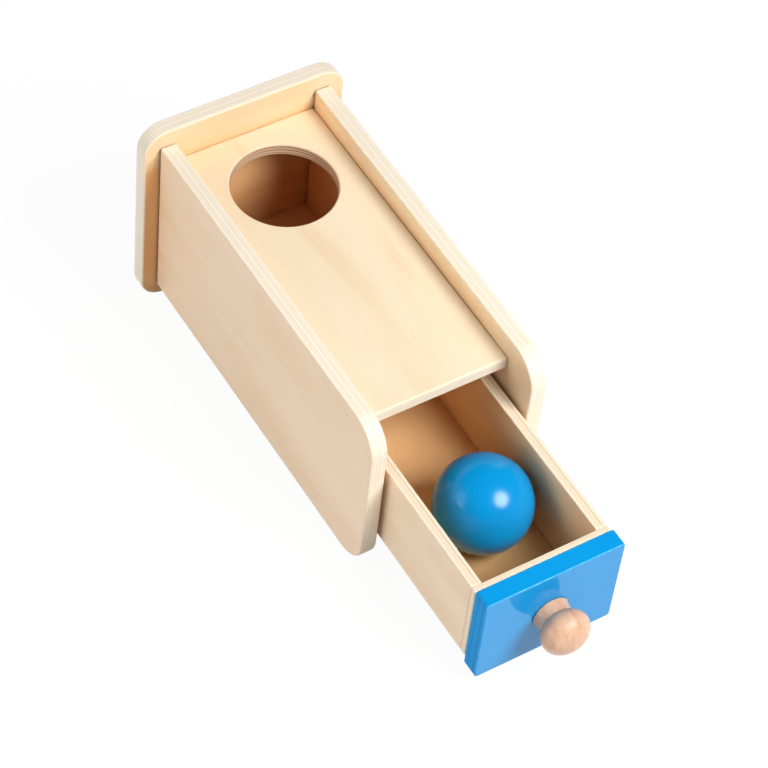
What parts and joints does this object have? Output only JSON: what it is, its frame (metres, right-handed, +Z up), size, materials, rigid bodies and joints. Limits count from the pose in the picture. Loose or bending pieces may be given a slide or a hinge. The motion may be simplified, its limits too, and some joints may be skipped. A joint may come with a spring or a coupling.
{
  "type": "object permanence box",
  "caption": "Plywood toy box with a round ball hole in its top board, a pull-out drawer with a blue painted front and turned wooden knob, and a blue ball that drops into the drawer.",
  "frame": {"origin": "on the ground below the middle of the standing box, with its drawer pulled out as in the picture", "axes": "+Z up, -Y towards the knob, along the way the drawer comes out, +X to the right seen from the knob's side"},
  "size_m": [0.115, 0.327, 0.1215],
  "materials": {
    "plywood": "sanded birch plywood with a thin clear coat",
    "drawer_plywood": "sanded thin plywood",
    "beech": "turned and waxed beech",
    "blue_paint": "gloss paint on wood",
    "blue_ball": "satin paint on wood",
    "steel": "bright"
  },
  "bodies": {
    "case": {"back_panel": "plywood", "left_side": "plywood", "right_side": "plywood", "top_board": "plywood", "bay_floor": "plywood", "side_dowels": "beech", "top_board_dowels": "beech", "bay_floor_dowels": "beech"},
    "drawer": {"drawer_left_wall": "drawer_plywood", "drawer_right_wall": "drawer_plywood", "drawer_back": "drawer_plywood", "drawer_inner_front": "drawer_plywood", "drawer_bottom": "drawer_plywood", "drawer_brads": "steel", "drawer_front": "blue_paint", "knob": "beech", "knob_screw": "steel"},
    "ball": {"ball": "blue_ball"}
  },
  "joints": [
    {"name": "drawer_slide", "type": "slide", "parent": "case", "child": "drawer", "axis": [0, -0.9989, -0.0472], "range_m": [-0.097, 0.055]},
    {"name": "ball_roll", "type": "slide", "parent": "drawer", "child": "ball", "axis": [0, -0.9989, -0.0472], "range_m": [-0.098, 0.022]}
  ]
}
